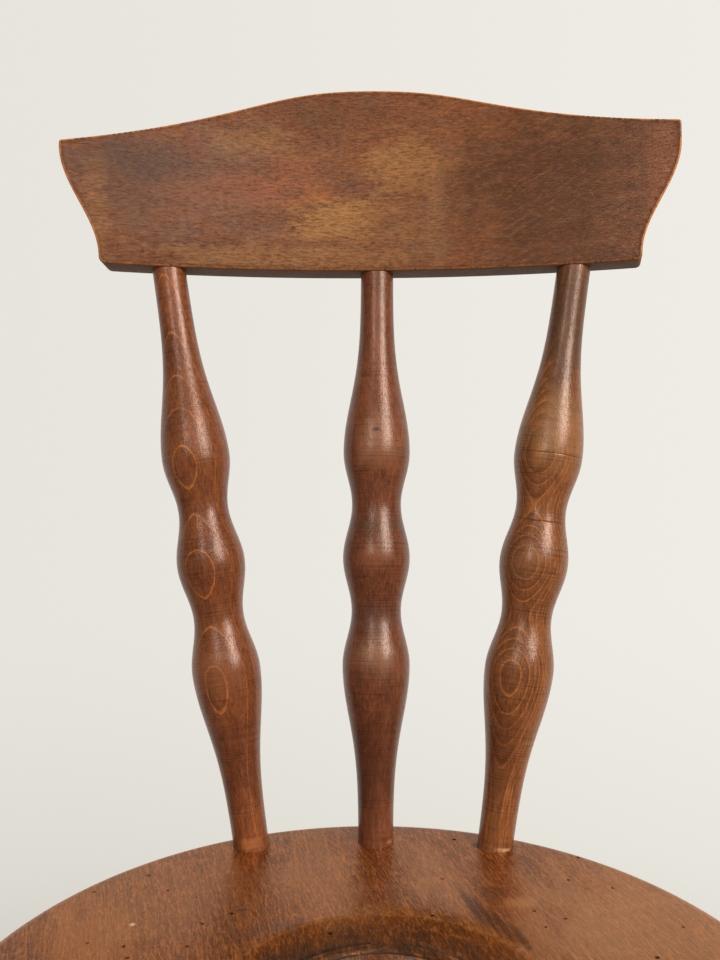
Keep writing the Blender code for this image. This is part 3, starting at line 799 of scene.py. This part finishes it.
for side, (foot, head) in SPINDLES.items():
    at = axis_frame(foot, head)
    length = (head - foot).length
    scored = SPINDLE_SCORED[side]
    form = turned_profile(SPINDLE_FORM, -SOCKET_DEPTH, length + OVERCUT, scored)
    bm = turned(form, TURNED_STEPS)
    cut_off(bm, at, RAIL_FOOT - up_the_rail * 0.0001, up_the_rail)
    spindle = piece_of("turned_spindle_" + side, bm)
    peg = [(0.0, length + PEG_LENGTH), (PEG_RADIUS, length + PEG_LENGTH - 0.001)]
    peg += [(PEG_RADIUS, length - OVERCUT), (0.0, length - OVERCUT)]
    combine(spindle, turned(peg, BAR_SIDES), "UNION")
    wood_values, stains = SPINDLE_WOOD[side], SPINDLE_STAINS[side]
    material = turning_material("spindle_beech_" + side, wood_values, stains, scored)
    node = "back_spindle_" + side
    finish_turning(spindle, at, material, node, SPINDLE_BOW[side])


# The back rail: a beech board steam bent to an arc and sawn to a high middle and flared ends,
# with all its edges rounded by hand. It sits on the three spindles' pegs.

RAIL_THICKNESS = 0.0193
RAIL_BEND_RADIUS = 0.585
RAIL_HALF_WIDTH = 0.1582
RAIL_END_FLARE = 0.0231
RAIL_FLARE_START = 0.003
RAIL_FLARE_HEIGHT = 0.065
RAIL_MIDDLE_HEIGHT = 0.1098
RAIL_CORNERS = {-1: (0.0703, 0.205), 1: (0.0798, 0.132)}
RAIL_SHOULDER_REACH = 0.118
RAIL_HUMP_REACH = 0.060
RAIL_ARRIS = 0.0013
RAIL_TOP_CORNER_ROUND = 0.0018
RAIL_CORNER_ROUND = 0.004
RAIL_CELL = 0.003
RAIL_FRAME = Matrix.Translation(RAIL_FOOT) @ Matrix.Rotation(-RAIL_LEAN, 4, "X")


def rail_side(side):
    """The board's outline on one side, from the middle of its lower edge to the top's middle."""
    corner, slope = RAIL_CORNERS[side]
    turn = RAIL_CORNER_ROUND
    half = RAIL_HALF_WIDTH + RAIL_END_FLARE
    points = [(side * (RAIL_HALF_WIDTH - turn) * part / 60, 0.0) for part in range(1, 60)]
    top_of_end = corner - RAIL_TOP_CORNER_ROUND
    for part in range(9):
        angle = pi / 2 * part / 8
        across = RAIL_HALF_WIDTH - turn + turn * sin(angle)
        points.append((side * across, turn - turn * cos(angle)))
    for part in range(1, 41):
        share = part / 40
        wave = (1 - cos(pi * share)) / 2
        height = RAIL_FLARE_START + RAIL_FLARE_HEIGHT * share
        if height < top_of_end - 0.0003:
            points.append((side * (RAIL_HALF_WIDTH + RAIL_END_FLARE * wave), height))
    curve = interpolate_bezier(
        Vector((side * half, corner)),
        Vector((side * (half - RAIL_SHOULDER_REACH), corner + slope * RAIL_SHOULDER_REACH)),
        Vector((side * RAIL_HUMP_REACH, RAIL_MIDDLE_HEIGHT)),
        Vector((0.0, RAIL_MIDDLE_HEIGHT)),
        90,
    )
    start = curve[0] - Vector((0.0, RAIL_TOP_CORNER_ROUND))
    end = curve[0] + (curve[1] - curve[0]).normalized() * RAIL_TOP_CORNER_ROUND
    for part in range(7):
        share = part / 6
        points.append(tuple(start.lerp(curve[0], share).lerp(curve[0].lerp(end, share), share)))
    points += [tuple(point) for point in curve[1:-1]]
    return points


def inset(outline, amount):
    """The outline moved inwards, square to each of its points."""
    moved = []
    for before, here, after in zip(outline[-1:] + outline[:-1], outline, outline[1:] + outline[:1]):
        into = (Vector(here) - Vector(before)).normalized()
        out_of = (Vector(after) - Vector(here)).normalized()
        across = Vector((-into.y - out_of.y, into.x + out_of.x)).normalized()
        widen = max(across.dot(Vector((-into.y, into.x))), 0.5)
        moved.append(Vector(here) + across * (amount / widen))
    return moved


def rail_board(outline):
    """The flat board with rounded edges, cut into small cells so that it bends smoothly."""
    bm = bmesh.new()
    edge = []
    for part in range(7):
        angle = pi / 2 * part / 6
        edge.append((RAIL_ARRIS * (1 - sin(angle)), RAIL_ARRIS * (1 - cos(angle))))
    edge += [(amount, RAIL_THICKNESS - depth) for amount, depth in reversed(edge)]
    loops = []
    for amount, depth in edge:
        loops.append([bm.verts.new((x, depth, high)) for x, high in inset(outline, amount)])
    for near, far in zip(loops, loops[1:]):
        for index in range(len(near)):
            bm.faces.new((near[index - 1], near[index], far[index], far[index - 1]))
    bm.faces.new(loops[0])
    bm.faces.new(loops[-1])
    for axis, reach in ((0, RAIL_HALF_WIDTH + RAIL_END_FLARE), (2, RAIL_MIDDLE_HEIGHT)):
        cuts = int(reach // RAIL_CELL)
        for cut in range(-cuts if axis == 0 else 1, cuts + 1):
            spot, normal = Vector(), Vector()
            spot[axis] = cut * RAIL_CELL
            normal[axis] = 1.0
            geom = bm.verts[:] + bm.edges[:] + bm.faces[:]
            bmesh.ops.bisect_plane(bm, geom=geom, plane_co=spot, plane_no=normal)
    bmesh.ops.remove_doubles(bm, verts=bm.verts, dist=0.00001)
    bmesh.ops.recalc_face_normals(bm, faces=bm.faces)
    return bm


def bent(spot):
    """A point of the flat board on the bent one, of which the ends are sawn straight back."""
    across = RAIL_BEND_RADIUS * sin(spot.x / RAIL_BEND_RADIUS)
    # The right end is sawn less straight, and splays out most at its foot
    if across > 0:
        splay = 0.25 + 0.6 * max(0.0, 1 - spot.z / 0.012)
        across += splay * spot.y * across / RAIL_BEND_RADIUS
    back = ((RAIL_BEND_RADIUS + spot.y) ** 2 - across ** 2) ** 0.5
    return Vector((across, back - RAIL_BEND_RADIUS, spot.z))


# Stains, worn places and painted sheen on the front: along and height in millimetres, half
# width and half height, colour and strength
RAIL_PATCHES = (
    # Grey fading and painted sheen: the greyish haze over the left half
    ((-60, 45), (60, 40), tint(116, 84, 66), 0.35),
    ((-120, 55), (62, 52), tint(112, 84, 72), 0.5),
    ((-28, 96), (34, 16), tint(84, 56, 34), 0.5),
    ((-22, 32), (30, 14), tint(176, 124, 56), 0.5),
    ((4, 24), (46, 26), tint(150, 102, 56), 0.35),
    ((22, 66), (32, 18), tint(168, 118, 62), 0.45),
    # Painted sheen: a narrow pale upright band right of the middle
    ((40, 30), (8, 34), tint(160, 120, 78), 0.3),
    ((-65, 78), (28, 10), tint(150, 112, 66), 0.4),
    ((-44, 60), (18, 12), tint(164, 82, 40), 0.3),
    ((-30, 46), (16, 7), tint(170, 86, 38), 0.32),
    ((-58, 42), (24, 6), tint(150, 76, 40), 0.25),
    ((-150, 66), (16, 10), tint(80, 58, 46), 0.45),
    ((-70, 52), (22, 8), tint(150, 76, 42), 0.4),
    ((-100, 46), (22, 9), tint(136, 74, 46), 0.3),
    ((-132, 62), (34, 14), tint(66, 56, 50), 0.75),
    ((-142, 46), (24, 18), tint(84, 62, 46), 0.4),
    ((-160, 30), (8, 32), tint(150, 104, 56), 0.4),
    ((-60, 8), (80, 8), tint(150, 106, 58), 0.4),
    ((112, 45), (72, 60), tint(58, 32, 16), 0.85),
    ((170, 52), (10, 34), tint(146, 78, 46), 0.4),
    ((12, 29), (8, 6), tint(78, 60, 38), 0.4),
    ((-6, 58), (5, 4), tint(90, 62, 44), 0.4),
    ((-45.5, 25.5), (1.6, 1.8), tint(50, 20, 14), 0.9),
    ((85.6, 46.1), (1.3, 1.6), tint(30, 20, 14), 0.9),
    ((91.6, 14.6), (6, 2.2), tint(52, 34, 22), 0.7),
    ((140, 4.5), (5, 4), tint(52, 36, 24), 0.6),
)


def rail_material():
    """Stained beech that has faded in patches, with painted sheen on the front, pale rubbed edges
    and an underside painted darker for dirt and shade.
    """
    material, tree, place, wood = start_finish("rail_beech", {
        "Heart": (0.04, 0.16, 0.0), "Lean": (0.02, 0.01, 0.0), "Ring Width": 0.004,
        "Line Width": 0.0008, "Wander": 0.016, "Line": 0.2, "Fleck": 0.4, "Thread": 0.0,
        "Deep": tint(46, 20, 10), "Pale": tint(140, 82, 44), "Line Colour": tint(166, 106, 66),
    })
    edge = marked(tree, "edge")
    colour = wood["Colour"]
    # The stain has faded unevenly, to olive, rust and grey
    for away, hue, amount in (
        (0.3, tint(136, 98, 56), 0.3), (0.9, tint(126, 62, 38), 0.4), (1.7, tint(78, 60, 50), 0.4),
    ):
        moved = shift(tree, "ADD", place, (away,) * 3)
        spots = mottle(tree, stretch(tree, moved, (1.0, 1.0, 0.4)), 90.0, 6.0, 0.85)
        colour = lay(tree, fade(tree, spots, 0.5, 0.62), colour, hue, amount)
    # Each patch, of wear, stain and painted sheen alike, is broken up by the fibres
    broken = reckon(tree, "MULTIPLY_ADD", wood["Fibre"], 0.9, 0.3, clamp=True)
    for (along, height), (wide, tall), hue, amount in RAIL_PATCHES:
        centre = (height / 1000, 0.0, along / 1000)
        size = (tall / 1000, 0.012, wide / 1000)
        inputs = {"Place": place, "Centre": centre, "Size": size, "Speckle": 110.0}
        inputs["Ragged"] = 3.0 if wide > 7 else 0.4
        patch = reckon(tree, "MULTIPLY", use(tree, WORN_PATCH, inputs)["Share"], amount)
        colour = lay(tree, patch, colour, hue, broken)
    colour = lay(tree, wood["Fleck"], colour, tint(44, 22, 10), 0.25)
    # Fine broken fibres, light and dark
    for away, hue, amount in ((0.0, tint(56, 22, 12), 0.45), (3.1, tint(160, 108, 66), 0.16)):
        moved = shift(tree, "ADD", place, (away,) * 3)
        fibres = mottle(tree, stretch(tree, moved, (1.0, 1.0, 0.3)), 760.0, 2.0, 0.6)
        colour = lay(tree, fade(tree, fibres, 0.52, 0.66), colour, hue, amount)
    # Faint streaks slant up across the right half, where the finish was wiped on
    tilt = {"Vector": place, "Angle": radians(-31)}
    slant = step(tree, "VectorRotate", tilt, rotation_type="Y_AXIS").outputs[0]
    streaks = mottle(tree, stretch(tree, slant, (1.0, 1.0, 0.05)), 800.0, 3.0, 0.7)
    inputs = {"Place": place, "Centre": (0.05, 0.0, 0.09), "Size": (0.06, 0.02, 0.08)}
    right_half = use(tree, WORN_PATCH, inputs)["Share"]
    streaks = reckon(tree, "MULTIPLY", fade(tree, streaks, 0.5, 0.68), right_half)
    colour = lay(tree, streaks, colour, tint(158, 104, 54), 0.22)
    # A dark line of dirt inside each edge, and the edge itself rubbed pale, less so at the foot
    ragged = mottle(tree, place, 260.0, 4.0, 0.75)
    beside = fade(tree, edge, 0.0032, 0.0018)
    beside = reckon(tree, "MULTIPLY", beside, fade(tree, ragged, 0.35, 0.6))
    colour = lay(tree, beside, colour, tint(58, 34, 18), 0.4)
    rubbed = fade(tree, reckon(tree, "MULTIPLY_ADD", ragged, 0.0018, edge), 0.0026, 0.0012)
    height = step(tree, "SeparateXYZ", {0: place}).outputs[0]
    above_foot = reckon(tree, "MULTIPLY_ADD", fade(tree, height, 0.002, 0.012), 0.5, 0.5)
    rubbed = reckon(tree, "MULTIPLY", rubbed, above_foot)
    colour = lay(tree, rubbed, colour, tint(206, 126, 56), 0.8)
    # The underside is dull, and painted darker for dirt and shade
    under = fade(tree, height, 0.0009, 0.0002)
    colour = lay(tree, under, colour, tint(62, 44, 32), 0.6)
    # The sawn sides between front and back have lost their gloss
    sawn = fade(tree, marked(tree, "side"), 0.0006, 0.0002)
    dull = reckon(tree, "MAXIMUM", under, sawn)
    inputs = {"Place": place, "Gloss": 0.22, "Worn": rubbed, "Fleck": wood["Fleck"]}
    rough = use(tree, OLD_VARNISH, inputs)["Roughness"]
    rough = reckon(tree, "MULTIPLY_ADD", dull, 0.4, rough)
    shader = close_finish(material, colour, rough, wood["Relief"], 0.25)
    shader.inputs["IOR"].default_value = 1.45
    shader.inputs["Specular Tint"].default_value = tint(255, 206, 180)
    return material


def from_outline(spot):
    """How far a point of the flat board is from the nearest point of its outline."""
    return nearest.find((spot.x, 0.0, spot.z))[2]


outline = [(0.0, 0.0), *rail_side(1), (0.0, RAIL_MIDDLE_HEIGHT), *reversed(rail_side(-1))]
rail = piece_of("bent_back_rail", rail_board(outline))
nearest = KDTree(len(outline))
for index, (x, height) in enumerate(outline):
    nearest.insert((x, 0.0, height), index)
nearest.balance()
mark(rail, "grain", lambda spot: (spot.z, spot.y, spot.x))
mark(rail, "side", from_outline)
mark(rail, "edge", lambda spot: hypot(from_outline(spot), min(spot.y, RAIL_THICKNESS - spot.y)))
for vert in rail.data.vertices:
    vert.co = bent(vert.co)
rail.data.transform(RAIL_FRAME)
pegs = bmesh.new()
for foot, head in SPINDLES.values():
    low = (head - foot).length - OVERCUT
    high = (head - foot).length + PEG_LENGTH + 0.0005
    add_cylinder(pegs, axis_frame(foot, head), PEG_RADIUS + SOCKET_GAP, low, high)
combine(rail, pegs, "DIFFERENCE")
smooth(rail)
rail.data.materials.append(rail_material())
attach(rail, "root")
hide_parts("crest_rail")


# The room it is shown in: a plain pale floor that fades into a plain pale wall, and soft light
# from large windows in front.

WALL_COLOUR = tint(236, 233, 226)
# The wall's colour on either side, level with the back and further down
WALL_LEFT = tint(231, 228, 222), tint(203, 198, 185)
WALL_RIGHT = tint(239, 236, 229), tint(219, 216, 204)
FLOOR_COLOUR = tint(238, 235, 228)

bm = bmesh.new()
bmesh.ops.create_circle(bm, cap_ends=True, radius=2.6, segments=96)
floor = piece_of("floor", bm)
material = bpy.data.materials.new("pale_floor")
material.use_nodes = True
tree = material.node_tree
tree.nodes.clear()
out = tree.nodes.new("ShaderNodeOutputMaterial")
place = step(tree, "TexCoord").outputs["Object"]
speckle = mottle(tree, place, 3.0, 3.0)
paint = lay(tree, speckle, FLOOR_COLOUR, tint(200, 196, 188), 0.04)
matt = step(tree, "BsdfDiffuse", {"Color": paint}).outputs[0]
clear = step(tree, "BsdfTransparent").outputs[0]
away = fade(tree, how_far(tree, place), 0.45, 1.15)
mixed = step(tree, "MixShader", {0: away, 1: matt, 2: clear})
feed(out.inputs["Surface"], mixed.outputs[0])
floor.data.materials.append(material)

world = bpy.data.worlds.new("pale_room")
bpy.context.scene.world = world
world.use_nodes = True
tree = world.node_tree
tree.nodes.clear()
out = tree.nodes.new("ShaderNodeOutputWorld")
path = step(tree, "LightPath").outputs
seen = reckon(tree, "MAXIMUM", path["Is Camera Ray"], path["Is Glossy Ray"])
seen = reckon(tree, "MAXIMUM", seen, path["Is Transmission Ray"])
towards = step(tree, "SeparateXYZ", {0: step(tree, "TexCoord").outputs["Generated"]}).outputs
# The wall is a little darker to the left and lower down, and the room in front of it is dimmer
rightwards = fade(tree, towards[0], -0.4, 0.4)
high_wall, low_wall = (lay(tree, rightwards, *pair) for pair in zip(WALL_LEFT, WALL_RIGHT))
paint = lay(tree, fade(tree, towards[2], -0.2, -0.75), high_wall, low_wall)
wall = step(tree, "Background", {"Color": paint, "Strength": 1.0}).outputs[0]
front = fade(tree, towards[1], 0.35, -0.1)
front = reckon(tree, "MAXIMUM", front, fade(tree, towards[2], 0.4, 0.75))
front = reckon(tree, "MULTIPLY", front, path["Is Glossy Ray"])
dim = step(tree, "Background", {"Color": WALL_COLOUR, "Strength": 0.12}).outputs[0]
wall = step(tree, "MixShader", {0: front, 1: wall, 2: dim}).outputs[0]
air = step(tree, "Background", {"Color": tint(240, 238, 234), "Strength": 0.48}).outputs[0]
feed(out.inputs["Surface"], step(tree, "MixShader", {0: seen, 1: air, 2: wall}).outputs[0])


def window(name, spot, aim, width, height, strength):
    """A large soft light that faces a point."""
    light = bpy.data.lights.new(name, "AREA")
    light.shape = "RECTANGLE"
    light.size = width
    light.size_y = height
    light.energy = strength
    lamp = bpy.data.objects.new(name, light)
    facing = (aim - spot).to_track_quat("-Z", "Y").to_matrix().to_4x4()
    lamp.matrix_world = Matrix.Translation(spot) @ facing
    bpy.context.scene.collection.objects.link(lamp)


AIM = Vector((0.0, 0.15, 0.6))
window("window_right", Vector((1.45, -1.45, 1.95)), AIM, 1.15, 1.2, 62)
window("window_left", Vector((-0.84, -1.9, 1.75)), AIM, 0.45, 0.9, 11)
window("window_wide", Vector((0.2, -2.3, 2.15)), AIM, 0.8, 0.8, 4.2)

camera = bpy.data.objects.new("camera", bpy.data.cameras.new("camera"))
camera.data.lens = 40
camera.data.sensor_width = 36
camera.location = (-0.0004, -0.4560, 0.7202)
camera.rotation_euler = (radians(83.741), radians(0.265), radians(0.573))
bpy.context.scene.collection.objects.link(camera)
bpy.context.scene.camera = camera
bpy.context.scene.view_settings.view_transform = "Standard"
